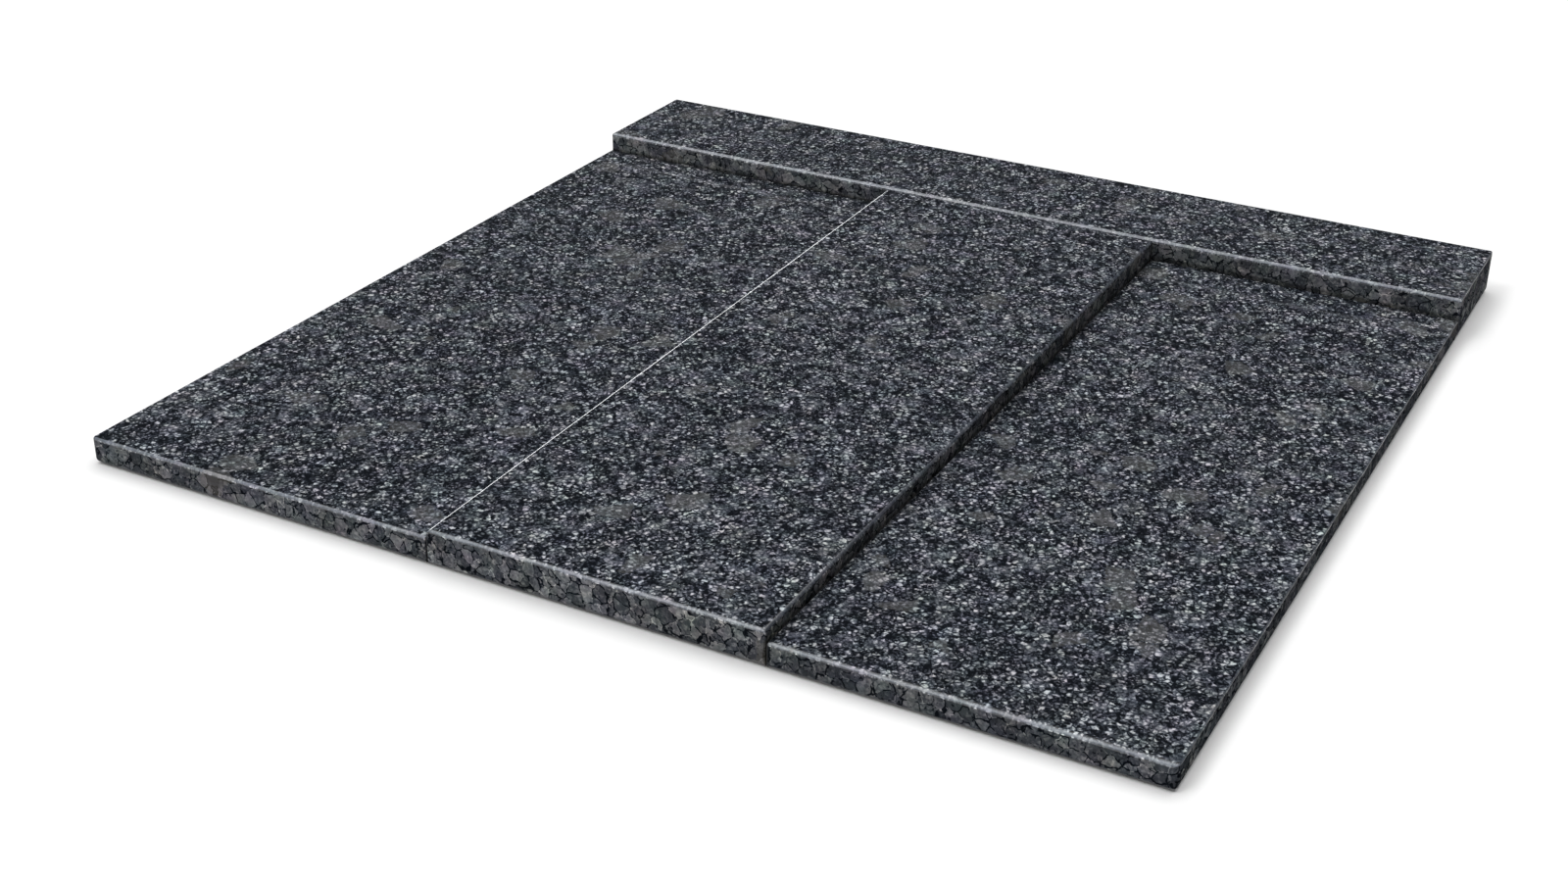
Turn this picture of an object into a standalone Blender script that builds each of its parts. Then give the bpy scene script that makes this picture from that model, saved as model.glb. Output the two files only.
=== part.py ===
"""A granite slab set for leatherwork: three working slabs side by side and a rail along their back.

Metres, +Z up. The origin is on the bench, under the middle of the set. +X runs to the right along
the front edge, and +Y runs from the front edge to the back of the rail. The stones butt together
with a thin joint between them. Each joint holds a strip of sealant and two steel dowels, and every
stone stands on rubber pads.
"""

import math
from collections import namedtuple

import bmesh
import bpy

# Plan of the set
OVERALL_WIDTH = 0.900
OVERALL_DEPTH = 0.910
LEFT_WIDTH = 0.325
RIGHT_WIDTH = 0.2905
RAIL_DEPTH = 0.1345
JOINT_GAP = 0.0015

# Thickness of each stone. The centre slab is a wedge, thicker where it meets the rail.
LEFT_THICKNESS = 0.0222
CENTRE_FRONT_THICKNESS = 0.029
CENTRE_BACK_THICKNESS = 0.0385
RIGHT_THICKNESS = 0.020
RAIL_THICKNESS = 0.040

# Edge work
ARRIS_ROUND = 0.003
BASE_ROUND = 0.004
CORNER_ROUND = 0.004
JOINT_ARRIS = 0.0006
ROUND_SEGMENTS = 4

# What holds the stones together and off the bench
FIT_GAP = 0.0003
SEAL_FACE_RECESS = 0.0015
SEAL_TOP_RECESS = 0.002
SEAL_BASE_RECESS = 0.0015
DOWEL_DIAMETER = 0.006
DOWEL_LENGTH = 0.060
DOWEL_CHAMFER = 0.0005
DOWEL_INSET = 0.070
DOWEL_CLEARANCE = 0.0003
DOWEL_END_CLEARANCE = 0.001
DOWEL_SIDES = 24
PAD_DIAMETER = 0.030
PAD_THICKNESS = 0.0008
PAD_EDGE_ROUND = 0.0002
PAD_INSET = 0.045
PAD_SIDES = 24

# Where things come to, from the sizes above
LEFT_EDGE = -OVERALL_WIDTH / 2
RIGHT_EDGE = OVERALL_WIDTH / 2
FRONT_EDGE = -OVERALL_DEPTH / 2
BACK_EDGE = OVERALL_DEPTH / 2
RAIL_FRONT = BACK_EDGE - RAIL_DEPTH
SLAB_BACK = RAIL_FRONT - JOINT_GAP
LEFT_SLAB_END = LEFT_EDGE + LEFT_WIDTH
CENTRE_START = LEFT_SLAB_END + JOINT_GAP
RIGHT_SLAB_START = RIGHT_EDGE - RIGHT_WIDTH
CENTRE_END = RIGHT_SLAB_START - JOINT_GAP
UNDERSIDE = PAD_THICKNESS + FIT_GAP

# Finishes: colour, roughness, metallic
POLISHED_GRANITE = ((0.052, 0.058, 0.068, 1.0), 0.32, 0.0)
DARK_SEALANT = ((0.012, 0.012, 0.013, 1.0), 0.60, 0.0)
BRIGHT_STEEL = ((0.56, 0.57, 0.58, 1.0), 0.28, 1.0)
BLACK_RUBBER = ((0.018, 0.018, 0.018, 1.0), 0.85, 0.0)

# A stone's outline on the bench and its thickness at the front and at the back. outer names its
# sides that face outwards, and worked names the sides whose top edge is rounded.
Stone = namedtuple("Stone", "left right front back front_height back_height outer worked")

STONES = {
    "left_slab": Stone(
        LEFT_EDGE, LEFT_SLAB_END, FRONT_EDGE, SLAB_BACK,
        LEFT_THICKNESS, LEFT_THICKNESS,
        outer={"left", "front"}, worked={"left", "front"},
    ),
    "centre_slab": Stone(
        CENTRE_START, CENTRE_END, FRONT_EDGE, SLAB_BACK,
        CENTRE_FRONT_THICKNESS, CENTRE_BACK_THICKNESS,
        outer={"front"}, worked={"left", "right", "front"},
    ),
    "right_slab": Stone(
        RIGHT_SLAB_START, RIGHT_EDGE, FRONT_EDGE, SLAB_BACK,
        RIGHT_THICKNESS, RIGHT_THICKNESS,
        outer={"right", "front"}, worked={"right", "front"},
    ),
    "back_rail": Stone(
        LEFT_EDGE, RIGHT_EDGE, RAIL_FRONT, BACK_EDGE,
        RAIL_THICKNESS, RAIL_THICKNESS,
        outer={"left", "right", "back"}, worked={"left", "right", "front", "back"},
    ),
}

# Pads under each stone, counted across and along
PAD_GRIDS = {"left_slab": (2, 3), "centre_slab": (2, 3), "right_slab": (2, 3), "back_rail": (4, 1)}


def clear_scene():
    for obj in list(bpy.data.objects):
        bpy.data.objects.remove(obj, do_unlink=True)


def new_collection(name):
    collection = bpy.data.collections.new(name)
    bpy.context.scene.collection.children.link(collection)
    return collection


def new_object(name, mesh, collection, location, finish=None, parent=None):
    """An object in its collection, with a material of its own when it has a finish."""
    obj = bpy.data.objects.new(name, mesh)
    obj.location = location
    obj.parent = parent
    collection.objects.link(obj)
    if finish:
        colour, roughness, metallic = finish
        material = bpy.data.materials.new(name)
        material.use_nodes = True
        shader = material.node_tree.nodes["Principled BSDF"]
        shader.inputs["Base Color"].default_value = colour
        shader.inputs["Roughness"].default_value = roughness
        shader.inputs["Metallic"].default_value = metallic
        material.diffuse_color = colour
        mesh.materials.append(material)
    return obj


def block(width, depth, front_height, back_height):
    """A block on z = 0, centred in plan, whose top may fall from the back to the front."""
    bm = bmesh.new()
    bmesh.ops.create_cube(bm, size=1.0)
    for vert in bm.verts:
        height = back_height if vert.co.y > 0 else front_height
        vert.co = (vert.co.x * width, vert.co.y * depth, height if vert.co.z > 0 else 0.0)
    bm.normal_update()
    return bm


def mesh_from(bm, name):
    mesh = bpy.data.meshes.new(name)
    bm.to_mesh(mesh)
    bm.free()
    return mesh


def side_of(face):
    """The side of a block that a face is on, by the axis that its normal leans to most."""
    axis = max(range(3), key=lambda i: abs(face.normal[i]))
    names = (("left", "right"), ("front", "back"), ("bottom", "top"))[axis]
    return names[face.normal[axis] > 0]


def edge_round(sides, stone):
    """How far the edge between two sides of a stone is rounded."""
    if "top" in sides:
        return ARRIS_ROUND if sides & stone.worked else JOINT_ARRIS
    if "bottom" in sides:
        return BASE_ROUND if sides & stone.outer else JOINT_ARRIS
    return CORNER_ROUND if sides <= stone.outer else JOINT_ARRIS


def add_stone(name, stone, collection, parent):
    bm = block(
        stone.right - stone.left, stone.back - stone.front,
        stone.front_height, stone.back_height,
    )
    widest = max(ARRIS_ROUND, BASE_ROUND, CORNER_ROUND, JOINT_ARRIS)
    weight = bm.edges.layers.float.new("bevel_weight_edge")
    for edge in bm.edges:
        sides = {side_of(face) for face in edge.link_faces}
        edge[weight] = edge_round(sides, stone) / widest
    mesh = mesh_from(bm, name)
    mesh.shade_smooth()
    centre = ((stone.left + stone.right) / 2, (stone.front + stone.back) / 2, UNDERSIDE)
    obj = new_object(name, mesh, collection, centre, POLISHED_GRANITE, parent)
    rounds = obj.modifiers.new("edge work", "BEVEL")
    rounds.limit_method = "WEIGHT"
    rounds.width = widest
    rounds.segments = ROUND_SEGMENTS
    rounds.harden_normals = True
    return obj


def is_behind(second, first):
    """Whether the joint between two stones runs across the set, with the second one behind."""
    return second.front >= first.back


def lower_heights(first, second):
    """The lower of two neighbours' thicknesses, at the front and at the back of their joint."""
    if is_behind(second, first):
        lower = min(first.back_height, second.front_height)
        return lower, lower
    return (
        min(first.front_height, second.front_height),
        min(first.back_height, second.back_height),
    )


def add_seal(name, first, second, collection, parent):
    """The sealant between two stones, which stops short of their faces and of the next seal."""
    front_height, back_height = lower_heights(first, second)
    film = JOINT_GAP - 2 * FIT_GAP
    if is_behind(second, first):
        low_x = first.left + (SEAL_FACE_RECESS if "left" in first.outer else 0.0)
        high_x = first.right - (SEAL_FACE_RECESS if "right" in first.outer else 0.0)
        low_y, high_y = first.back + FIT_GAP, first.back + FIT_GAP + film
    else:
        low_x, high_x = first.right + FIT_GAP, first.right + FIT_GAP + film
        low_y, high_y = first.front + SEAL_FACE_RECESS, RAIL_FRONT - FIT_GAP
    trimmed = SEAL_TOP_RECESS + SEAL_BASE_RECESS
    bm = block(high_x - low_x, high_y - low_y, front_height - trimmed, back_height - trimmed)
    centre = ((low_x + high_x) / 2, (low_y + high_y) / 2, UNDERSIDE + SEAL_BASE_RECESS)
    return new_object(name, mesh_from(bm, name), collection, centre, DARK_SEALANT, parent)


def cylinder(radius, length, sides):
    """A closed cylinder along z, centred on the origin."""
    bm = bmesh.new()
    bmesh.ops.create_cone(
        bm, cap_ends=True, segments=sides, radius1=radius, radius2=radius, depth=length,
    )
    return bm


def dowel_places(first, second):
    """The middle of each dowel across a joint, at the middle of the thinner stone's edge."""
    level = UNDERSIDE + min(lower_heights(first, second)) / 2
    half_gap = JOINT_GAP / 2
    if is_behind(second, first):
        across = (first.left + DOWEL_INSET, first.right - DOWEL_INSET)
        return [(x, first.back + half_gap, level) for x in across]
    along = (first.front + DOWEL_INSET, first.back - DOWEL_INSET)
    return [(first.right + half_gap, y, level) for y in along]


def lay_across(obj, first, second):
    """Turns a dowel, or its drill, from upright to square across the joint."""
    if is_behind(second, first):
        obj.rotation_euler = (math.pi / 2, 0.0, 0.0)
    else:
        obj.rotation_euler = (0.0, math.pi / 2, 0.0)


def add_dowel(name, place, first, second, collection, parent):
    bm = cylinder(DOWEL_DIAMETER / 2, DOWEL_LENGTH, DOWEL_SIDES)
    mesh = mesh_from(bm, name)
    mesh.shade_smooth()
    mesh.set_sharp_from_angle(angle=math.radians(40))
    obj = new_object(name, mesh, collection, place, BRIGHT_STEEL, parent)
    lay_across(obj, first, second)
    chamfer = obj.modifiers.new("end chamfer", "BEVEL")
    chamfer.limit_method = "ANGLE"
    chamfer.angle_limit = math.radians(60)
    chamfer.width = DOWEL_CHAMFER
    chamfer.segments = 1
    return obj


def drill(name, place, first, second, pierced, cutters, parent):
    """Cuts one dowel's hole through every piece that the dowel passes into."""
    bm = cylinder(
        DOWEL_DIAMETER / 2 + DOWEL_CLEARANCE,
        DOWEL_LENGTH + 2 * DOWEL_END_CLEARANCE,
        DOWEL_SIDES,
    )
    cutter = new_object(name, mesh_from(bm, name), cutters, place, parent=parent)
    lay_across(cutter, first, second)
    cutter.hide_render = True
    cutter.display_type = "WIRE"
    for piece in pierced:
        hole = piece.modifiers.new(name, "BOOLEAN")
        hole.operation = "DIFFERENCE"
        hole.object = cutter


def spread(low, high, inset, count):
    """Evenly spaced places between two edges, or the middle where there is only one."""
    if count == 1:
        return [(low + high) / 2]
    step = (high - low - 2 * inset) / (count - 1)
    return [low + inset + step * i for i in range(count)]


def add_pads(name, stone, collection, parent):
    """The rubber pads stuck under a stone."""
    across, along = PAD_GRIDS[name]
    number = 0
    for y in spread(stone.front, stone.back, PAD_INSET, along):
        for x in spread(stone.left, stone.right, PAD_INSET, across):
            number += 1
            pad_name = f"pad_{name}_{number}"
            bm = cylinder(PAD_DIAMETER / 2, PAD_THICKNESS, PAD_SIDES)
            mesh = mesh_from(bm, pad_name)
            mesh.shade_smooth()
            mesh.set_sharp_from_angle(angle=math.radians(40))
            place = (x, y, PAD_THICKNESS / 2)
            pad = new_object(pad_name, mesh, collection, place, BLACK_RUBBER, parent)
            edge = pad.modifiers.new("rounded edge", "BEVEL")
            edge.limit_method = "ANGLE"
            edge.angle_limit = math.radians(60)
            edge.width = PAD_EDGE_ROUND
            edge.segments = 1


def main():
    clear_scene()
    parts = new_collection("granite_slab")
    cutters = new_collection("cutters")
    frame = new_object("slab_set", None, parts, (0.0, 0.0, 0.0))

    pieces = {name: add_stone(name, stone, parts, frame) for name, stone in STONES.items()}
    joints = {
        "left_centre": ("left_slab", "centre_slab"),
        "centre_right": ("centre_slab", "right_slab"),
        "left_rail": ("left_slab", "back_rail"),
        "centre_rail": ("centre_slab", "back_rail"),
        "right_rail": ("right_slab", "back_rail"),
    }
    for joint, (first_name, second_name) in joints.items():
        first, second = STONES[first_name], STONES[second_name]
        seal = add_seal(f"seal_{joint}", first, second, parts, frame)
        pierced = (pieces[first_name], pieces[second_name], seal)
        for number, place in enumerate(dowel_places(first, second), start=1):
            add_dowel(f"dowel_{joint}_{number}", place, first, second, parts, frame)
            drill(f"drill_{joint}_{number}", place, first, second, pierced, cutters, frame)
    for name, stone in STONES.items():
        add_pads(name, stone, parts, frame)


main()
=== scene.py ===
"""Granite slab set for leatherwork: the finished stones, their fittings and a plain studio.

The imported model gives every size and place. Each stone is modelled again over its plain solid with
worked edges and a granite of its own, the rubber pads are modelled with their grip rings, and the
sealant and the dowels keep their shape and get a finish. Metres, +Z up, in the model's own frame.
"""

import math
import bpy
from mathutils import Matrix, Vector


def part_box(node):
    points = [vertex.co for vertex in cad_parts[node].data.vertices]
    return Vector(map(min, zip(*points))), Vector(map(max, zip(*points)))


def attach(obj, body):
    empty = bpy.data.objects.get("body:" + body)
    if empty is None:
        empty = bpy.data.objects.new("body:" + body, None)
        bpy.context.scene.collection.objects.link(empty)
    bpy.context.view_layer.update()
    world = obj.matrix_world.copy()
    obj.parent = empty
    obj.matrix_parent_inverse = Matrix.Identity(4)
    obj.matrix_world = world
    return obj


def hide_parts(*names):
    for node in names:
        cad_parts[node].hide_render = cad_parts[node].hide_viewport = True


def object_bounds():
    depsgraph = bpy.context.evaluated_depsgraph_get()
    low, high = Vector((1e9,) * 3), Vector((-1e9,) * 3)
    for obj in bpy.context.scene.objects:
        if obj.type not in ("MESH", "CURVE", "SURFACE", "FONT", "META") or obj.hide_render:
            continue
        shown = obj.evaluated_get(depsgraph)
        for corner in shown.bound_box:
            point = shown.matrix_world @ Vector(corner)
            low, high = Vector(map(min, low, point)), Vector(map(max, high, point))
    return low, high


bl_info = {
    "name": "Granite Slab Set",
    "version": (1, 0, 0),
    "blender": (4, 5, 0),
    "location": "3D View > Sidebar > Granite",
    "description": "Makes a set of granite working slabs with their sealant, dowels and pads",
    "category": "Add Mesh",
}

import bmesh
import bpy
from bpy.props import FloatProperty, FloatVectorProperty, IntProperty, PointerProperty
from bpy.types import Operator, Panel, PropertyGroup
from mathutils import Matrix, Vector

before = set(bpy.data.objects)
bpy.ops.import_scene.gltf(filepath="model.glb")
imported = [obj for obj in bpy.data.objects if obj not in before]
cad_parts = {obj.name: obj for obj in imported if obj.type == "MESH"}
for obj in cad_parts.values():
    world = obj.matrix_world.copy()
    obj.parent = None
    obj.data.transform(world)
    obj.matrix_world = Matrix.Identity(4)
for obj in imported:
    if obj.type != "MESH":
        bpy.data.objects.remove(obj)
cad_low, cad_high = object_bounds()

BODY = "root"

# The sides of each stone along which a higher stone stands, with how dark the oily sealant stain and the
# painted shade are there
UPPER_STEPS = {
    "left_slab": (("back", 1.0),),
    "centre_slab": (),
    "right_slab": (("left", 0.85), ("back", 0.35)),
    "back_rail": (),
}

# The sides of each stone along which a lower stone lies, with its name
LOWER_STEPS = {
    "left_slab": (),
    "centre_slab": (("right", "right_slab"),),
    "right_slab": (),
    "back_rail": (("front", "left_slab"),),
}

# The sides of each stone that face outwards, and those whose top edge is rounded
OUTER_SIDES = {
    "left_slab": {"left", "front"},
    "centre_slab": {"front"},
    "right_slab": {"right", "front"},
    "back_rail": {"left", "right", "back"},
}
WORKED_SIDES = {
    "left_slab": {"left", "front"},
    "centre_slab": {"left", "right", "front"},
    "right_slab": {"right", "front"},
    "back_rail": {"left", "right", "front", "back"},
}

# How far up a face leans, as the height of its normal, where polish gives way to honing
HONED_BELOW = 0.3

# How pale the top edges that face each way are made, and the centre slab's left edge, over which
# leather is drawn: partly rubbing and partly a painted highlight, strong on edges facing the lights, none
# on the right
EDGE_WEAR_AND_HIGHLIGHT = {"left": 0.10, "right": 0.0, "front": 0.43, "back": 0.10}
CENTRE_LEFT_WEAR_AND_HIGHLIGHT = 1.0

# Tone runs from 0 for mica to 1 for quartz, and these are the tones between them at which each
# mineral has its own colour
MICA_TONE, FINE_GROUND_TONE, FELDSPAR_TONE = 0.16, 0.40, 0.62

# The tones that the polished grain, the larger crystals and each stone's honed sides vary about
GROUND_TONE = 0.46
CRYSTAL_TONE = 0.54
HONED_TONE = {"left_slab": 0.475, "centre_slab": 0.505, "right_slab": 0.435, "back_rail": 0.49}

# Sizes of the grain's layers, in widths of a flake
FINE_FLAKE = 0.52
STREAK = 0.36
MOTTLE = 6.0
MICA_BOOK = 0.8
GLINT_SPACING = 1.2
CLEAVAGE = 1.5
CAST_PATCH = 4.0
HONED_CRYSTAL = 2.2
HONED_GAP = 1.5
HONED_SPECK = 0.7

# How far each layer swings the tone, or how far it moves it one way
FLAKE_SWING = 0.52
FINE_SWING = 0.46
STREAK_SWING = 0.78
MOTTLE_SWING = 0.26
GLINT_LIFT = 0.36
BROWN_DROP = 0.02
CLEAVAGE_LIFT = 0.14
HONED_CRYSTAL_SWING = 0.20
HONED_OUTLINE_DROP = 0.40
HONED_CLEAVAGE_LIFT = 0.22
HONED_SPECK_DROP = 0.22

# What is left of the tone between the flakes, what the flakes add to that, and what mica takes away
BETWEEN_FLAKES = 0.50
WITHIN_FLAKES = 0.68
MICA_DARKNESS = 0.80

# How much of the fine grain's contrast is left in a larger crystal and on a honed side, and how
# completely the larger crystals and the worn arrises hide the grain
CRYSTAL_GRAIN = 0.66
HONED_GRAIN = 0.26
CRYSTAL_COVER = 0.85
ARRIS_COVER = 0.80

# How much rougher the polish is on mica and on the arrises, and how it swings between the flakes
MICA_DULLNESS = 0.03
ARRIS_DULLNESS = 0.17
LUSTRE_SWING = 0.02

# How far the stone's colour swings from patch to patch, and how brown the brown crystals are
CAST_SWING = 0.28
BROWNNESS = 0.26

# The share of cells that hold none of each rarer mineral
MICA_SCARCITY = 0.72
GLINT_SCARCITY = 0.66
GREY_SCARCITY = 0.78
BROWN_SCARCITY = 0.945

# Colours that multiply the stone's own: on pale edges, partly rubbing and partly a painted highlight;
# along the steps, partly an oily sealant stain and partly painted shade; and on honed sides
PALE_EDGE_AND_HIGHLIGHT_CAST = (4.4, 4.25, 4.0)
STAIN_AND_SHADE_CAST = (0.20, 0.20, 0.17)
HONED_CAST = (1.10, 1.05, 0.96)

# Colours of the sawn underside and of the saw's lines on it
SAWN_GREY = (0.17, 0.175, 0.18)
SAW_LINE_GREY = (0.27, 0.275, 0.28)

# How closely a direction follows an axis, as a cosine, to count as straight along it, and how
# closely a normal does where the surface counts as flat and not as rounded
STRAIGHT = 0.99
FLAT = 0.985

# How far in from a stone's sides the hand work reaches, as a share of the rounding of its arris
HAND_REACH = 1.05

# Where each stone was cut from its block: a turn in degrees and a shift in metres
CUT_FROM = {
    "left_slab": ((0.0, 0.0, 11.0), (0.37, 1.12, 0.21)),
    "centre_slab": ((0.0, 4.0, 203.0), (2.43, 0.35, 0.74)),
    "right_slab": ((3.0, 0.0, 96.0), (1.19, 3.02, 1.38)),
    "back_rail": ((0.0, 2.0, 301.0), (3.71, 2.26, 0.53)),
}


def colour(name, description, default):
    """A colour that the user may change."""
    return FloatVectorProperty(
        name=name, description=description, default=default, subtype="COLOR", size=3, min=0.0, max=1.0
    )


def length(name, description, default):
    """A length that the user may change."""
    return FloatProperty(
        name=name, description=description, default=default, min=0.0, unit="LENGTH", precision=5
    )


def amount(name, description, default, highest=1.0):
    """A share or a strength that the user may change."""
    return FloatProperty(name=name, description=description, default=default, min=0.0, max=highest)


def angle(name, description, default):
    """An angle that the user may change, with its default in degrees."""
    return FloatProperty(
        name=name, description=description, default=math.radians(default), unit="ROTATION"
    )


class StoneSettings(PropertyGroup):
    """The stones' edge work and granite."""

    arris_round: length("Arris Round", "Rounding of a slab's worked top edge", 0.0031)
    rail_round: length("Rail Round", "Rounding of the rail's front top edge", 0.0040)
    fine_round: length("Fine Round", "Rounding of the set's outer top edges but the front", 0.0015)
    step_round: length("Step Round", "Rounding of the centre slab's left top edge", 0.0038)
    # These reach and height settings also place the painted shade at the foot of each step
    stain_and_shade_reach: length("Stain Reach", "How far the sealant's oil has crept into the stone", 0.015)
    stain_and_shade_height: length("Stain Height", "How far the oil has crept up the foot of a step", 0.0045)
    base_round: length("Base Round", "Rounding of an outer bottom edge", 0.004)
    corner_round: length("Corner Round", "Rounding of an upright outer corner", 0.004)
    joint_arris: length("Joint Arris", "Easing of an edge in a joint", 0.0006)
    grid: length("Grid", "Spacing of the stone's mesh", 0.006)
    hand_work: length("Hand Work", "How far a worked edge strays from true", 0.00012)
    round_segments: IntProperty(
        name="Round Segments", description="Facets across an edge", default=6, min=2, max=12
    )
    flake: length("Flake", "Width of a feldspar flake", 0.0044)
    grey_crystal: length("Grey Crystal", "Width of a larger grey crystal", 0.0115)
    brown_crystal: length("Brown Crystal", "Width of a large brownish crystal", 0.0240)
    mica: colour("Mica", "Darkest mineral", (0.0030, 0.0040, 0.0060))
    ground: colour("Ground", "Fine dark ground between the flakes", (0.034, 0.039, 0.049))
    feldspar: colour("Feldspar", "Pale blue-grey flakes", (0.128, 0.136, 0.154))
    quartz: colour("Quartz", "Palest glassy grains", (0.46, 0.47, 0.49))
    old_crystal: colour("Large Crystal", "Brownish large crystals", (0.090, 0.087, 0.078))
    stain_and_shade: amount("Stain", "How dark the sealant's oil has made the stone at the joint", 0.65)
    polish: amount("Polish Roughness", "Roughness of the polished top", 0.075)
    hone: amount("Hone Roughness", "Roughness of the honed sides", 0.42)
    sawn: amount("Sawn Roughness", "Roughness of the sawn underside", 0.80)
    polish_shine: amount("Polish Shine", "Specular level of the polished faces", 0.45)
    hone_shine: amount("Hone Shine", "Specular level of the honed faces", 0.0)


class FittingSettings(PropertyGroup):
    """The pads, the sealant and the dowels."""

    rubber: colour("Rubber", "Colour of the pads", (0.018, 0.018, 0.019))
    sealant: colour("Sealant", "Colour of the joints' sealant", (0.012, 0.012, 0.013))
    steel: colour("Steel", "Colour of the dowels", (0.56, 0.57, 0.58))
    ring_depth: length("Ring Depth", "Depth of the grip rings under a pad", 0.00025)
    ring_width: length("Ring Width", "Width of a grip ring and of the land beside it", 0.0017)
    ring_count: IntProperty(name="Rings", description="Grip rings under a pad", default=3, min=1, max=4)
    pad_sides: IntProperty(name="Pad Sides", description="Facets round a pad", default=64, min=12, max=128)


class StudioSettings(PropertyGroup):
    """The floor, the light and the camera."""

    floor_colour: colour("Floor", "Colour of the floor", (0.705, 0.705, 0.705))
    floor_size: length("Floor Size", "Side of the floor", 80.0)
    overhead: amount("Overhead", "Strength of the light above", 3.2, 20.0)
    front_fill: amount("Front Fill", "Strength of the low light in front", 3.3, 20.0)
    key: amount("Key", "Strength of the high light at the front left", 11.0, 40.0)
    rim: amount("Rim", "Strength of the low strip at the back left", 7.6, 40.0)
    ambient: amount("Ambient", "Strength of the light from everywhere else", 0.03, 5.0)
    backdrop: amount("Backdrop", "Brightness of the empty background", 1.0, 5.0)
    azimuth: angle("Azimuth", "How far the camera stands round to the right of the front", 27.69)
    elevation: angle("Elevation", "How far the camera looks down", 27.40)
    roll: angle("Roll", "How far the camera leans", 0.79)
    distance: length("Distance", "From the camera to the point that it looks at", 1.760)
    lens: FloatProperty(name="Lens", description="Focal length", default=49.28, unit="CAMERA")
    target: FloatVectorProperty(
        name="Target", description="What the camera looks at", default=(0.0109, -0.1514, 0.0),
        subtype="XYZ", unit="LENGTH",
    )


class SlabSettings(PropertyGroup):
    """All the settings of the slab set."""

    stone: PointerProperty(type=StoneSettings)
    fitting: PointerProperty(type=FittingSettings)
    studio: PointerProperty(type=StudioSettings)


# Shader helpers


class Value:
    """A shader value that takes part in Python expressions, each operator adding a Math node."""

    def __init__(self, nodes, socket):
        self.nodes = nodes
        self.socket = socket

    def maths(self, operation, *values):
        return self.nodes.add("ShaderNodeMath", {"operation": operation}, dict(enumerate(values)))

    def __add__(self, other):
        return self.maths("ADD", self, other)

    __radd__ = __add__

    def __sub__(self, other):
        return self.maths("SUBTRACT", self, other)

    def __rsub__(self, other):
        return self.maths("SUBTRACT", other, self)

    def __mul__(self, other):
        return self.maths("MULTIPLY", self, other)

    __rmul__ = __mul__

    def __gt__(self, other):
        return self.maths("GREATER_THAN", self, other)

    def most(self, other):
        return self.maths("MAXIMUM", self, other)

    def rise(self, low, high):
        """0 below low and 1 above high, with a smooth rise between. It falls where high is less."""
        return self.nodes.add(
            "ShaderNodeMapRange", {"interpolation_type": "SMOOTHSTEP"},
            {"Value": self, "From Min": low, "From Max": high},
        )

    def swing(self, span):
        """A value from 0 to 1 as a change to either side of nothing, over a span."""
        return span * (self - 0.5)

    def beside(self, output):
        """Another output of the same node."""
        return Value(self.nodes, self.socket.node.outputs[output])


class Nodes:
    """Adds nodes to a material's or a world's node tree."""

    def __init__(self, tree):
        self.tree = tree

    def add(self, kind, settings=None, inputs=None, output=0):
        """A node: its settings are set first, then its sockets by name or number."""
        node = self.tree.nodes.new(kind)
        for name, value in (settings or {}).items():
            if name == "stops":
                self.set_stops(node.color_ramp, value)
            else:
                setattr(node, name, value)
        for key, value in (inputs or {}).items():
            self.plug(node.inputs[key], value)
        return Value(self, node.outputs[output])

    def plug(self, socket, value):
        if isinstance(value, Value):
            self.tree.links.new(value.socket, socket)
        else:
            socket.default_value = value

    @staticmethod
    def set_stops(ramp, stops):
        while len(ramp.elements) < len(stops):
            ramp.elements.new(1.0)
        for element, (place, value) in zip(ramp.elements, stops):
            element.position = place
            element.color = (*value, 1.0)

    def vector(self, operation, *values, output=0):
        """A Vector Math node. A scale is the node's own last socket."""
        inputs = dict(enumerate(values))
        if operation == "SCALE":
            inputs = {0: values[0], "Scale": values[1]}
        return self.add("ShaderNodeVectorMath", {"operation": operation}, inputs, output)

    def blend(self, share, first, second, mode="MIX"):
        """Two colours, mixed by a share."""
        mixed = {"data_type": "RGBA", "blend_type": mode}
        return self.add("ShaderNodeMix", mixed, {0: share, 6: first, 7: second}, 2)

    def noise(self, place, size, detail=2.0, roughness=0.5, output="Fac"):
        """Soft noise whose lumps are about that size."""
        inputs = {"Vector": place, "Scale": 1.0 / size, "Detail": detail, "Roughness": roughness}
        return self.add("ShaderNodeTexNoise", None, inputs, output)

    def cells(self, place, size, output="Distance", feature="F1"):
        """Crystal-like cells of that size."""
        inputs = {"Vector": place, "Scale": 1.0 / size}
        return self.add("ShaderNodeTexVoronoi", {"feature": feature}, inputs, output)

    def seams(self, place, size):
        """How far it is to the nearest side of a cell, as a share of the size."""
        return self.cells(place, size, feature="DISTANCE_TO_EDGE")

    def cell_draw(self, place, size):
        """A number from 0 to 1, drawn for each cell. A second draw stands beside it."""
        drawn = self.cells(place, size, "Color")
        return self.add("ShaderNodeSeparateColor", None, {0: drawn}, 0)

    def bend(self, place, size, reach):
        """A place pushed about by noise, so that cells get crooked sides."""
        push = self.colour_swing(place, size, reach)
        return self.vector("ADD", place, push)

    def colour_swing(self, place, size, span):
        """Soft coloured noise, as a change to either side of nothing."""
        noise = self.noise(place, size, output="Color")
        return self.vector("SCALE", self.vector("SUBTRACT", noise, (0.5, 0.5, 0.5)), span)


def opaque(tone, share=1.0, lift=0.0):
    """A colour with its alpha, dimmed to a share and lifted."""
    return (*(share * each + lift for each in tone), 1.0)


def new_finish(name):
    """A material with its node helper."""
    material = bpy.data.materials.new(name)
    material.use_nodes = True
    return material, Nodes(material.node_tree)


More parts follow.
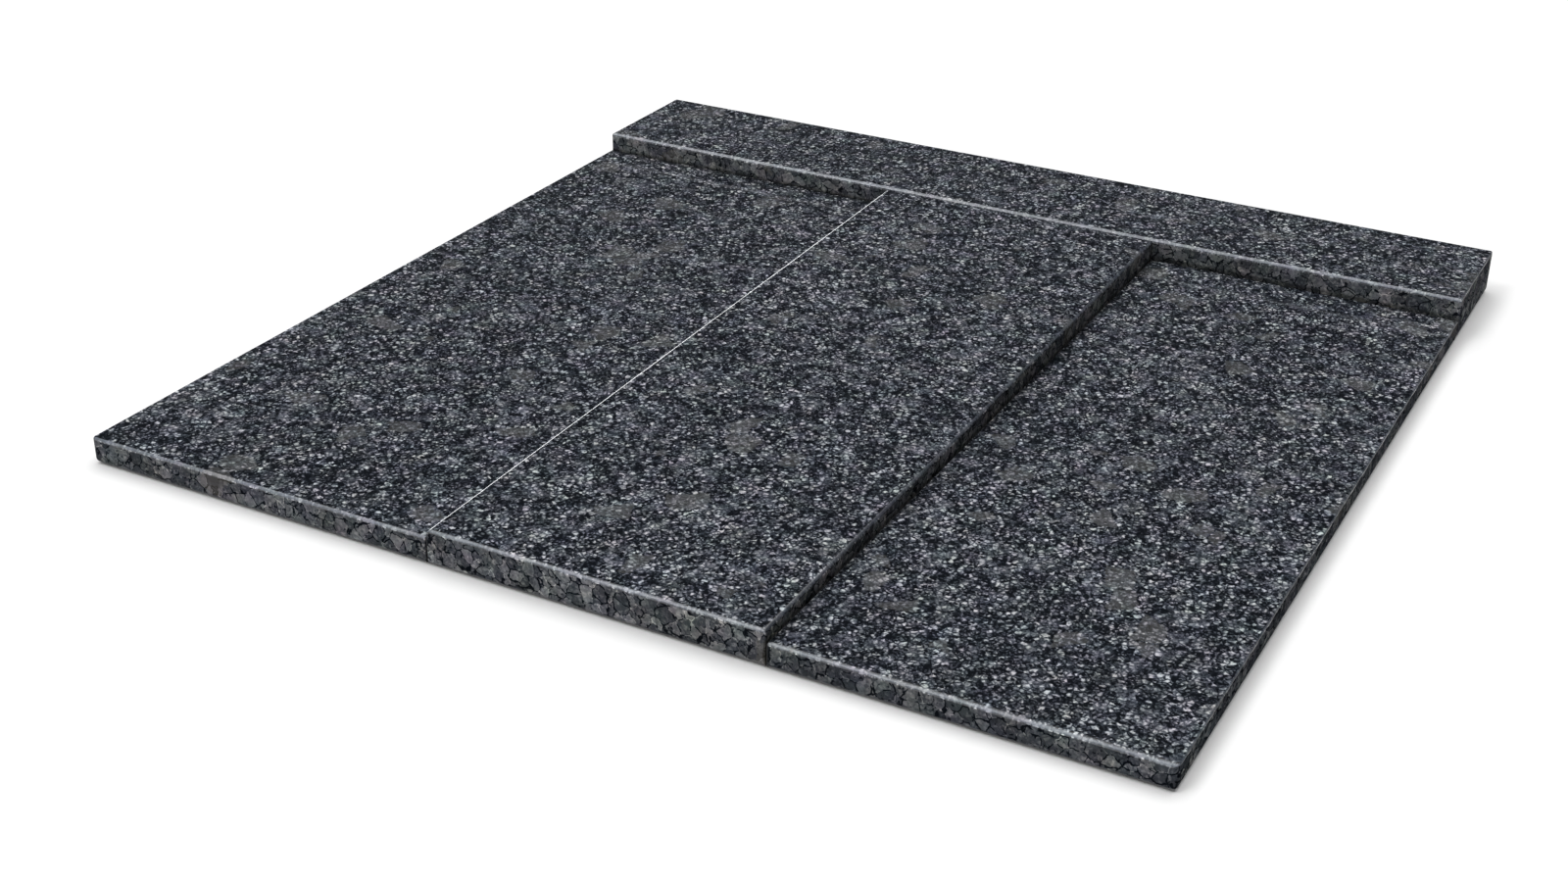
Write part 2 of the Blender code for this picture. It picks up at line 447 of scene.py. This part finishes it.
def dress(nodes, base, rough, specular=0.5, metallic=0.0):
    """Gives the Principled shader its colour, its roughness and its levels."""
    shader = nodes.tree.nodes["Principled BSDF"]
    nodes.plug(shader.inputs["Base Color"], base)
    nodes.plug(shader.inputs["Roughness"], rough)
    shader.inputs["Specular IOR Level"].default_value = specular
    shader.inputs["Metallic"].default_value = metallic


def emboss(nodes, height, strength, depth):
    """Gives the Principled shader a relief."""
    inputs = {"Strength": strength, "Distance": depth, "Height": height}
    bump = nodes.add("ShaderNodeBump", None, inputs)
    nodes.plug(nodes.tree.nodes["Principled BSDF"].inputs["Normal"], bump)


def object_place(nodes, turn=(0.0, 0.0, 0.0), shift=(0.0, 0.0, 0.0)):
    """Object coordinates, turned by degrees and shifted by metres."""
    place = nodes.add("ShaderNodeTexCoord", output="Object")
    turned = tuple(math.radians(each) for each in turn)
    return nodes.add(
        "ShaderNodeMapping", None, {"Vector": place, "Location": shift, "Rotation": turned}
    )


def attribute(nodes, name):
    """A number that is kept at the mesh's points."""
    return nodes.add("ShaderNodeAttribute", {"attribute_name": name}, output="Fac")


# Finishes


def grain_tone(nodes, place, flake):
    """The fine grain: its tone, where its mica lies, each flake's lustre and a mask of the flakes."""
    crooked = nodes.bend(place, 0.9 * flake, 0.55 * flake)
    pale = nodes.cell_draw(crooked, flake)
    outline = nodes.seams(crooked, flake).rise(0.0, 0.28)
    fine_pale = nodes.cell_draw(crooked, FINE_FLAKE * flake)
    streak = nodes.noise(place, STREAK * flake, roughness=0.6)
    mottle = nodes.noise(place, MOTTLE * flake, detail=1.0)
    tone = GROUND_TONE + pale.swing(FLAKE_SWING) + fine_pale.swing(FINE_SWING)
    tone = tone + streak.swing(STREAK_SWING) + mottle.swing(MOTTLE_SWING)
    tone = tone * (BETWEEN_FLAKES + WITHIN_FLAKES * outline)

    # Mica books lie between the flakes, and glassy points get painted glints: pale spots lifted into the
    # colour
    mica_draw = nodes.cell_draw(place, MICA_BOOK * flake)
    mica = (mica_draw > MICA_SCARCITY) * nodes.cells(place, MICA_BOOK * flake).rise(0.55, 0.35)
    tone = tone * (1.0 - MICA_DARKNESS * mica)
    glint_draw = nodes.cell_draw(place, GLINT_SPACING * flake)
    point = nodes.cells(place, GLINT_SPACING * flake).rise(0.17, 0.09)
    glint = (glint_draw > GLINT_SCARCITY) * point
    return tone + GLINT_LIFT * glint, mica, pale.beside(1), outline


def large_crystals(nodes, place, size, scarcity, flake):
    """A mask of the sparse larger crystals of one size, with the flakes around them biting in."""
    wide = nodes.bend(place, 0.8 * size, 0.5 * size)
    crooked = nodes.bend(wide, 0.8 * flake, 0.8 * flake)
    inside = nodes.seams(crooked, size).rise(0.01, 0.05)
    return (nodes.cell_draw(crooked, size) > scarcity) * inside


def crystal_tone(nodes, place, tone, settings):
    """The tone with the larger crystals, whose own grain is calmer, and a mask of the brown ones."""
    flake = settings.flake
    grey = large_crystals(nodes, place, settings.grey_crystal, GREY_SCARCITY, flake)
    brown = large_crystals(nodes, place, settings.brown_crystal, BROWN_SCARCITY, flake)
    cleavage = nodes.seams(nodes.bend(place, flake, flake), CLEAVAGE * flake).rise(0.035, 0.0)
    calm = CRYSTAL_TONE - BROWN_DROP * brown + CRYSTAL_GRAIN * (tone - GROUND_TONE)
    calm = calm + CLEAVAGE_LIFT * cleavage
    return tone + CRYSTAL_COVER * grey.most(brown) * (calm - tone), brown


def honed_tone(nodes, place, flake, tone, usual):
    """A honed side: bigger, quieter crystals with dark outlines, dark specks and pale cleavage."""
    crooked = nodes.bend(place, 1.6 * flake, 1.2 * flake)
    pale = nodes.cell_draw(crooked, HONED_CRYSTAL * flake)
    seam = nodes.seams(crooked, HONED_CRYSTAL * flake)
    gap = nodes.noise(place, HONED_GAP * flake).rise(0.43, 0.52)
    cleaved = (1.0 - gap) * (pale.beside(1) > 0.5)
    speck = nodes.noise(place, HONED_SPECK * flake).rise(0.62, 0.70)
    honed = usual + pale.swing(HONED_CRYSTAL_SWING) + HONED_GRAIN * (tone - GROUND_TONE)
    honed = honed - HONED_OUTLINE_DROP * gap * seam.rise(0.07, 0.02)
    honed = honed + HONED_CLEAVAGE_LIFT * cleaved * seam.rise(0.05, 0.01)
    return honed - HONED_SPECK_DROP * speck


def stain_and_painted_shade(nodes, name, settings):
    """How much the stone is darkened, from 0 to 1 where two stones make a step: partly an oily sealant
    stain and partly painted shade at the foot of the step.
    """
    low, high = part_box(name)
    across = nodes.add("ShaderNodeSeparateXYZ", None, {0: object_place(nodes)}, 0)
    along, above = across.beside(1), across.beside(2)
    away = {
        "left": across - low.x, "right": high.x - across,
        "front": along - low.y, "back": high.y - along,
    }
    stain_and_shade = 0.0 * across
    for side, share in UPPER_STEPS[name]:
        stain_and_shade = stain_and_shade.most(share * away[side].rise(settings.stain_and_shade_reach, 0.0))
    # Painted shade and stain climb the foot of the side that stands above a lower stone
    for side, lower in LOWER_STEPS[name]:
        climb = (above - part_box(lower)[1].z).rise(settings.stain_and_shade_height, 0.0)
        on_side = away[side].rise(0.002, 0.001)
        stain_and_shade = stain_and_shade.most(climb * on_side)
    return stain_and_shade * stain_and_shade


def stone_colour(nodes, place, name, tone, brown, settings):
    """The tone as a colour, with bluer and browner patches, and darker along the steps between stones,
    partly an oily sealant stain and partly painted shade.
    """
    stops = [
        (0.0, settings.mica), (MICA_TONE, settings.mica), (FINE_GROUND_TONE, settings.ground),
        (FELDSPAR_TONE, settings.feldspar), (1.0, settings.quartz),
    ]
    stone = nodes.add("ShaderNodeValToRGB", {"stops": stops}, {0: tone})
    cast = nodes.colour_swing(place, CAST_PATCH * settings.flake, CAST_SWING)
    cast = nodes.vector("ADD", cast, (1.0, 1.0, 1.0))
    stone = nodes.blend(1.0, stone, cast, "MULTIPLY")
    stone = nodes.blend(BROWNNESS * brown, stone, opaque(settings.old_crystal))
    # Darker at the steps: partly an oily sealant stain, partly painted shade
    darkening = settings.stain_and_shade * stain_and_painted_shade(nodes, name, settings)
    return nodes.blend(darkening, stone, opaque(STAIN_AND_SHADE_CAST), "MULTIPLY")


def granite(name, finish, settings):
    """Dark blue-grey granite, polished on its top and arrises or honed and sawn elsewhere."""
    material, nodes = new_finish(f"granite_{name}_{finish}")
    place = object_place(nodes, *CUT_FROM[name])
    upward = attribute(nodes, "upward")
    grain, mica, lustre, outline = grain_tone(nodes, place, settings.flake)
    tone, brown = crystal_tone(nodes, place, grain, settings)
    if finish == "polished":
        arris = upward.rise(0.99, 0.90) * upward.rise(0.36, 0.56)
        tone = tone + ARRIS_COVER * arris * (GROUND_TONE - tone)
        stone = stone_colour(nodes, place, name, tone, brown, settings)
        # Edges made pale partly by rubbing and partly as a painted highlight, strongest on the edges that
        # face the lights
        worn_and_lit = arris * attribute(nodes, "wear")
        stone = nodes.blend(worn_and_lit, stone, opaque(PALE_EDGE_AND_HIGHLIGHT_CAST), "MULTIPLY")
        rough = settings.polish + MICA_DULLNESS * mica + lustre.swing(LUSTRE_SWING)
        rough = rough + ARRIS_DULLNESS * arris
        relief = 0.15 * outline + 0.10 * lustre
        shine = settings.polish_shine
    else:
        tone = honed_tone(nodes, place, settings.flake, tone, HONED_TONE[name])
        stone = stone_colour(nodes, place, name, tone, brown, settings)
        underside = upward.rise(-0.35, -0.9)
        saw_lines = nodes.add(
            "ShaderNodeTexWave", {"wave_type": "BANDS", "bands_direction": "X"},
            {"Vector": place, "Scale": 60.0, "Distortion": 1.5, "Detail": 2.0},
        )
        stone = nodes.blend(1.0, stone, opaque(HONED_CAST), "MULTIPLY")
        stone = nodes.blend(0.75 * underside, stone, opaque(SAWN_GREY))
        stone = nodes.blend(0.22 * underside * saw_lines, stone, opaque(SAW_LINE_GREY))
        rough = settings.hone + underside * (settings.sawn - settings.hone)
        grit = nodes.noise(place, 0.0011)
        relief = 0.15 * outline + 0.8 * grit + underside * 3.0 * saw_lines
        shine = settings.hone_shine
    dress(nodes, stone, rough, shine)
    emboss(nodes, relief, 0.25, 0.0001)
    return material


def rubber(settings):
    """Matt black rubber with a moulded grain and a little talc in its hollows."""
    material, nodes = new_finish("pad_rubber")
    place = object_place(nodes)
    grain = nodes.noise(place, 0.0006, 3.0, 0.6)
    talc = nodes.noise(place, 0.006, 3.0, 0.6).rise(0.52, 0.75)
    dusty = opaque(settings.rubber, 0.75, 0.03)
    base = nodes.blend(0.6 * talc, opaque(settings.rubber), dusty)
    dress(nodes, base, 0.74 + 0.16 * grain + 0.08 * talc, 0.35)
    emboss(nodes, grain, 0.4, 0.00005)
    return material


def sealant(settings):
    """Black joint sealant, smoothed with a wet finger, with stone dust caught in it."""
    material, nodes = new_finish("joint_sealant")
    place = object_place(nodes)
    dust = nodes.noise(place, 0.0015, 4.0, 0.65).rise(0.56, 0.72)
    drag = nodes.noise(place, 0.004)
    dusty = opaque(settings.sealant, 0.6, 0.05)
    base = nodes.blend(0.35 * dust, opaque(settings.sealant), dusty)
    dress(nodes, base, 0.42 + 0.22 * drag + 0.20 * dust, 0.4)
    emboss(nodes, drag, 0.3, 0.0001)
    return material


def brushed_steel(settings):
    """Ground stainless rod: fine turning marks, and dull patches where resin touched it."""
    material, nodes = new_finish("dowel_steel")
    place = object_place(nodes)
    marks = nodes.noise(place, 0.0003, 2.0, 0.7)
    resin = nodes.noise(place, 0.008).rise(0.50, 0.70)
    base = nodes.blend(0.5 * resin, opaque(settings.steel), opaque(settings.steel, 0.62))
    dress(nodes, base, 0.22 + 0.14 * marks + 0.18 * resin, metallic=1.0)
    emboss(nodes, marks, 0.2, 0.00002)
    return material


def pale_floor(settings):
    """A smooth pale studio floor."""
    material, nodes = new_finish("studio_floor")
    cloud = nodes.noise(object_place(nodes), 0.6)
    lighter, darker = opaque(settings.floor_colour), opaque(settings.floor_colour, 0.99)
    dress(nodes, nodes.blend(cloud, lighter, darker), 0.7, 0.1)
    return material


# Modelling helpers


def select_only(obj):
    bpy.ops.object.select_all(action="DESELECT")
    obj.select_set(True)
    bpy.context.view_layer.objects.active = obj


def pick(obj, kind, test):
    """In edit mode, selects only the edges or the faces that pass a test."""
    bpy.ops.mesh.select_mode(type="FACE" if kind == "faces" else "EDGE")
    bpy.ops.mesh.select_all(action="DESELECT")
    shape = bmesh.from_edit_mesh(obj.data)
    for element in getattr(shape, kind):
        if test(element):
            element.select_set(True)
    bmesh.update_edit_mesh(obj.data)


def apply_modifier(obj, name, kind, **settings):
    select_only(obj)
    modifier = obj.modifiers.new(name, kind)
    for key, value in settings.items():
        setattr(modifier, key, value)
    bpy.ops.object.modifier_apply(modifier=name)


def stand_for(piece, slot, *nodes):
    """Hands a finished piece to the frame."""
    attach(piece, BODY)
    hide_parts(*nodes)


def nodes_named(start):
    found = sorted(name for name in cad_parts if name.startswith(start))
    if not found:
        raise RuntimeError(f"the frame has no node whose name starts with {start}")
    return found


# The stones


def side_of(normal):
    """The side of a stone that a normal faces."""
    axis = max(range(3), key=lambda i: abs(normal[i]))
    names = (("left", "right"), ("front", "back"), ("bottom", "top"))[axis]
    return names[normal[axis] > 0]


def sides_of(edge):
    return {side_of(face.normal) for face in edge.link_faces}


def bounds_side(edge, side):
    """Whether an edge divides one side of a piece from another."""
    return len({face_side == side for face_side in sides_of(edge)}) == 2


def top_fall(name, low, high):
    """How much lower a stone's top is at its front than at its back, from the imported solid."""
    points = [vertex.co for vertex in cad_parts[name].data.vertices]
    middle = (low.y + high.y) / 2
    front = max((point for point in points if point.y < middle), key=lambda point: point.z)
    back = max((point for point in points if point.y > middle), key=lambda point: point.z)
    run = back.y - front.y
    return (back.z - front.z) / run * (high.y - low.y)


def runs_along(edge, axis):
    """Whether an edge runs along an axis, give or take the fall of a wedge."""
    run = (edge.verts[1].co - edge.verts[0].co).normalized()
    return abs(run[axis]) > STRAIGHT


def split_along(obj, axis, length_of_side, step):
    """Cuts every edge along an axis into pieces of about one step."""
    count = max(2, round(length_of_side / step))
    first = max(1, round(math.sqrt(count)))
    second = max(1, round(count / first))
    for parts in (first, second):
        if parts > 1:
            pick(obj, "edges", lambda edge: runs_along(edge, axis))
            bpy.ops.mesh.subdivide(number_cuts=parts - 1)


def edge_round(sides, name, settings):
    """How far the edge between two sides of a stone is rounded."""
    outer, worked = OUTER_SIDES[name], WORKED_SIDES[name]
    if "top" in sides and sides & worked:
        if "front" in sides:
            return settings.rail_round if name == "back_rail" else settings.arris_round
        if name == "centre_slab":
            return settings.step_round if "left" in sides else settings.arris_round
        return settings.fine_round
    if "top" in sides:
        return settings.joint_arris
    if "bottom" in sides:
        return settings.base_round if sides & outer else settings.joint_arris
    return settings.corner_round if sides <= outer else settings.joint_arris


def takes_round(edge, width, name, settings):
    """Whether an edge between two sides of a stone is rounded by exactly that width."""
    sides = sides_of(edge)
    return len(sides) == 2 and edge_round(sides, name, settings) == width


def shape_stone(name, settings):
    """A sawn block, its top tilted where it has to be, its edges marked and rounded."""
    low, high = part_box(name)
    fall = top_fall(name, low, high)
    bpy.ops.object.select_all(action="DESELECT")
    bpy.ops.mesh.primitive_cube_add(size=1.0, location=(low + high) / 2, scale=high - low)
    stone = bpy.context.active_object
    stone.name = stone.data.name = f"{name}_stone"
    bpy.ops.object.transform_apply(location=True, rotation=True, scale=True)

    bpy.ops.object.mode_set(mode="EDIT")
    pick(stone, "edges", lambda edge: sides_of(edge) == {"top", "front"})
    bpy.ops.transform.translate(value=(0.0, 0.0, -fall))
    for axis in (0, 1):
        split_along(stone, axis, high[axis] - low[axis], settings.grid)
    rounds = {
        settings.arris_round, settings.rail_round, settings.step_round, settings.fine_round,
        settings.base_round, settings.corner_round, settings.joint_arris,
    }
    widest = max(rounds)
    for width in rounds:
        pick(stone, "edges", lambda edge: takes_round(edge, width, name, settings))
        bpy.ops.transform.edge_bevelweight(value=width / widest)
    bpy.ops.object.mode_set(mode="OBJECT")
    apply_modifier(
        stone, "edge work", "BEVEL",
        limit_method="WEIGHT", width=widest, segments=settings.round_segments,
    )
    return stone, low, high


def roughen_edges(stone, low, high, settings):
    """Lets the worked edges stray a little from true, as hand polishing leaves them."""
    reach = HAND_REACH * settings.arris_round
    rounded = stone.vertex_groups.new(name="rounded")
    inner_low, inner_high = low + Vector((reach,) * 3), high - Vector((reach,) * 3)
    for vertex in stone.data.vertices:
        outside = sum(not inner_low[i] < vertex.co[i] < inner_high[i] for i in range(3))
        flat = max(abs(each) for each in vertex.normal) > FLAT
        if outside > 1 and not flat:
            rounded.add([vertex.index], 1.0, "REPLACE")
    unevenness = bpy.data.textures.new(f"{stone.name}_hand_work", "CLOUDS")
    unevenness.noise_scale = 0.02
    unevenness.noise_depth = 2
    apply_modifier(
        stone, "hand work", "DISPLACE", texture=unevenness, texture_coords="LOCAL",
        vertex_group="rounded", strength=settings.hand_work, mid_level=1.0,
    )
    stone.vertex_groups.clear()
    bpy.data.textures.remove(unevenness)


def note_surface(stone, name):
    """Keeps at each point how far the surface faces up, and how pale its edge is made: partly rubbing,
    partly a painted highlight that follows which way the edge faces.
    """
    mesh = stone.data
    pale_by_side = dict(EDGE_WEAR_AND_HIGHLIGHT)
    if name == "centre_slab":
        pale_by_side["left"] = CENTRE_LEFT_WEAR_AND_HIGHLIGHT
    leans = [Vector((0.0, 0.0, 0.0)) for _ in mesh.vertices]
    for face in mesh.polygons:
        for index in face.vertices:
            leans[index] += face.area * face.normal
    upward = mesh.attributes.new("upward", "FLOAT", "POINT")
    wear = mesh.attributes.new("wear", "FLOAT", "POINT")
    for index, lean in enumerate(leans):
        upward.data[index].value = lean.normalized().z
        level = Vector((lean.x, lean.y, 0.0))
        if level.length > 0.01 * lean.length:
            level.normalize()
            across = pale_by_side["right" if level.x > 0.0 else "left"]
            along = pale_by_side["back" if level.y > 0.0 else "front"]
            wear.data[index].value = across * level.x**2 + along * level.y**2


def make_stone(name, settings):
    stone, low, high = shape_stone(name, settings)
    roughen_edges(stone, low, high, settings)
    note_surface(stone, name)
    select_only(stone)
    bpy.ops.object.shade_smooth()
    apply_modifier(stone, "true faces", "WEIGHTED_NORMAL", keep_sharp=True, weight=50)
    for finish in ("polished", "honed"):
        stone.data.materials.append(granite(name, finish, settings))
    for face in stone.data.polygons:
        face.material_index = 0 if face.normal.z > HONED_BELOW else 1
    stand_for(stone, "granite", name)


# The fittings


def shape_pad(settings, low, high):
    """One rubber disc with a rounded rim and grip rings moulded into its underside."""
    size = high - low
    bpy.ops.object.select_all(action="DESELECT")
    bpy.ops.mesh.primitive_cylinder_add(
        vertices=settings.pad_sides, radius=size.x / 2, depth=size.z, location=(low + high) / 2
    )
    pad = bpy.context.active_object
    bpy.ops.object.transform_apply(location=True, rotation=True, scale=True)

    bpy.ops.object.mode_set(mode="EDIT")
    for side, rounding, facets in (("bottom", size.z / 4, 3), ("top", size.z / 8, 2)):
        pick(pad, "edges", lambda edge: bounds_side(edge, side))
        bpy.ops.mesh.bevel(offset=rounding, segments=facets, affect="EDGES")
    pick(pad, "faces", lambda face: face.normal.z < -STRAIGHT)
    for _ in range(settings.ring_count):
        for step in (settings.ring_depth, -settings.ring_depth):
            bpy.ops.mesh.inset(thickness=settings.ring_width)
            bpy.ops.mesh.inset(thickness=settings.ring_depth)
            bpy.ops.transform.translate(value=(0.0, 0.0, step))
    pick(pad, "faces", lambda face: face.normal.z > STRAIGHT)
    bpy.ops.mesh.inset(thickness=settings.ring_width)
    bpy.ops.object.mode_set(mode="OBJECT")
    bpy.ops.object.shade_smooth_by_angle(angle=math.radians(35))
    return pad


def make_pads(settings):
    names = nodes_named("pad_")
    first_low, first_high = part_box(names[0])
    pattern = shape_pad(settings, first_low, first_high)
    pattern.data.materials.append(rubber(settings))
    for name in names:
        pad = pattern.copy()
        pad.data = pattern.data.copy()
        pad.name = pad.data.name = f"{name}_ringed"
        bpy.context.scene.collection.objects.link(pad)
        select_only(pad)
        pad.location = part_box(name)[0] - first_low
        bpy.ops.object.transform_apply(location=True, rotation=False, scale=False)
        stand_for(pad, "rubber", name)
    bpy.data.objects.remove(pattern, do_unlink=True)


def finish_nodes(start, material):
    """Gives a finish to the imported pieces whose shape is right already."""
    for name in nodes_named(start):
        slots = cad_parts[name].material_slots
        if not slots:
            raise RuntimeError(f"{name} has no material slot")
        for each in slots:
            each.material = material


# The stage


def direction(azimuth, elevation):
    """A unit vector, from angles in radians. Azimuth 0 is the front, and it turns to the right."""
    level = math.cos(elevation)
    return Vector((math.sin(azimuth) * level, -math.cos(azimuth) * level, math.sin(elevation)))


def studio_light(settings):
    """A sky of soft boxes: one wide overhead, a fill in front, a key and a low strip behind."""
    world = bpy.data.worlds.new("soft_boxes")
    bpy.context.scene.world = world
    world.use_nodes = True
    nodes = Nodes(world.node_tree)
    look = nodes.add("ShaderNodeTexCoord", output="Generated")
    height = nodes.add("ShaderNodeSeparateXYZ", None, {0: look}, 2)

    def box(azimuth, elevation, edge, core):
        """A round light, from nothing at its edge to full in its core, all in degrees."""
        centre = direction(math.radians(azimuth), math.radians(elevation))
        towards = nodes.vector("DOT_PRODUCT", look, centre, output=1)
        return towards.rise(math.cos(math.radians(edge)), math.cos(math.radians(core)))

    def below(none, full):
        """A mask of the low sky, from nothing at one elevation to full at a lower one, in degrees."""
        return height.rise(math.sin(math.radians(none)), math.sin(math.radians(full)))

    overhead = box(azimuth=-165.0, elevation=78.0, edge=42.0, core=32.0)
    front_fill = below(none=28.0, full=10.0) * box(azimuth=-25.0, elevation=5.0, edge=62.0, core=30.0)
    key = box(azimuth=-41.7, elevation=52.2, edge=12.0, core=7.0)
    rim = below(none=11.0, full=6.0) * box(azimuth=-141.0, elevation=3.0, edge=20.0, core=14.0)
    light = settings.ambient + settings.overhead * overhead
    light = light + settings.front_fill * front_fill
    light = light + settings.key * key
    light = light + settings.rim * rim
    from_camera = nodes.add("ShaderNodeLightPath", output="Is Camera Ray")
    seen = light + from_camera * (settings.backdrop - light)
    background = world.node_tree.nodes["Background"]
    background.inputs["Color"].default_value = (1.0, 1.0, 1.0, 1.0)
    nodes.plug(background.inputs["Strength"], seen)


def make_floor(settings):
    bpy.ops.object.select_all(action="DESELECT")
    bpy.ops.mesh.primitive_plane_add(size=settings.floor_size, location=(0.0, 0.0, cad_low.z))
    floor = bpy.context.active_object
    floor.name = floor.data.name = "studio_floor"
    floor.data.materials.append(pale_floor(settings))


def place_camera(settings):
    camera = bpy.data.objects.new("camera", bpy.data.cameras.new("camera"))
    bpy.context.scene.collection.objects.link(camera)
    back = direction(settings.azimuth, settings.elevation)
    right = Vector((math.cos(settings.azimuth), math.sin(settings.azimuth), 0.0))
    above = back.cross(right)
    axes = Matrix((right, above, back)).transposed().to_4x4()
    place = Vector(settings.target) + settings.distance * back
    camera.matrix_world = Matrix.Translation(place) @ axes @ Matrix.Rotation(settings.roll, 4, "Z")
    camera.data.lens = settings.lens
    camera.data.clip_start = 0.01
    camera.data.clip_end = 2 * settings.floor_size
    bpy.context.scene.camera = camera
    bpy.context.scene.view_settings.view_transform = "Standard"


# Operators


class Maker:
    """What all the operators share."""

    bl_options = {"REGISTER", "UNDO"}

    def execute(self, context):
        self.make(context.scene.slab_set)
        return {"FINISHED"}


class StoneMaker(Maker):
    """What the stones' operators share."""

    stone = ""

    def make(self, settings):
        make_stone(self.stone, settings.stone)


class SLAB_OT_left_slab(StoneMaker, Operator):
    """Model the left working slab"""

    bl_idname = "slab.left_slab"
    bl_label = "Left Slab"
    stone = "left_slab"


class SLAB_OT_centre_slab(StoneMaker, Operator):
    """Model the wedge-shaped centre slab"""

    bl_idname = "slab.centre_slab"
    bl_label = "Centre Slab"
    stone = "centre_slab"


class SLAB_OT_right_slab(StoneMaker, Operator):
    """Model the right working slab"""

    bl_idname = "slab.right_slab"
    bl_label = "Right Slab"
    stone = "right_slab"


class SLAB_OT_back_rail(StoneMaker, Operator):
    """Model the rail along the back"""

    bl_idname = "slab.back_rail"
    bl_label = "Back Rail"
    stone = "back_rail"


class SLAB_OT_pads(Maker, Operator):
    """Model the rubber pads under the stones"""

    bl_idname = "slab.pads"
    bl_label = "Pads"

    def make(self, settings):
        make_pads(settings.fitting)


class SLAB_OT_seals(Maker, Operator):
    """Finish the sealant in the joints"""

    bl_idname = "slab.seals"
    bl_label = "Seals"

    def make(self, settings):
        finish_nodes("seal_", sealant(settings.fitting))


class SLAB_OT_dowels(Maker, Operator):
    """Finish the steel dowels inside the joints"""

    bl_idname = "slab.dowels"
    bl_label = "Dowels"

    def make(self, settings):
        finish_nodes("dowel_", brushed_steel(settings.fitting))


class SLAB_OT_stage(Maker, Operator):
    """Set the floor, the light and the camera"""

    bl_idname = "slab.stage"
    bl_label = "Stage"

    def make(self, settings):
        place_camera(settings.studio)
        make_floor(settings.studio)
        studio_light(settings.studio)


MAKERS = (
    SLAB_OT_stage,
    SLAB_OT_left_slab,
    SLAB_OT_centre_slab,
    SLAB_OT_right_slab,
    SLAB_OT_back_rail,
    SLAB_OT_seals,
    SLAB_OT_dowels,
    SLAB_OT_pads,
)


class SLAB_PT_set(Panel):
    """The slab set's settings and the buttons that make its pieces"""

    bl_label = "Granite Slab Set"
    bl_idname = "SLAB_PT_set"
    bl_space_type = "VIEW_3D"
    bl_region_type = "UI"
    bl_category = "Granite"

    def draw(self, context):
        settings = context.scene.slab_set
        for group in (settings.stone, settings.fitting, settings.studio):
            column = self.layout.box().column(align=True)
            for name in group.__annotations__:
                column.prop(group, name)
        column = self.layout.column(align=True)
        for maker in MAKERS:
            column.operator(maker.bl_idname)


CLASSES = (StoneSettings, FittingSettings, StudioSettings, SlabSettings, *MAKERS, SLAB_PT_set)


def register():
    for each in CLASSES:
        bpy.utils.register_class(each)
    bpy.types.Scene.slab_set = PointerProperty(type=SlabSettings)


def unregister():
    del bpy.types.Scene.slab_set
    for each in reversed(CLASSES):
        bpy.utils.unregister_class(each)


def main():
    register()
    for maker in MAKERS:
        group, operator = maker.bl_idname.split(".")
        getattr(getattr(bpy.ops, group), operator)()


if __name__ == "__main__":
    main()
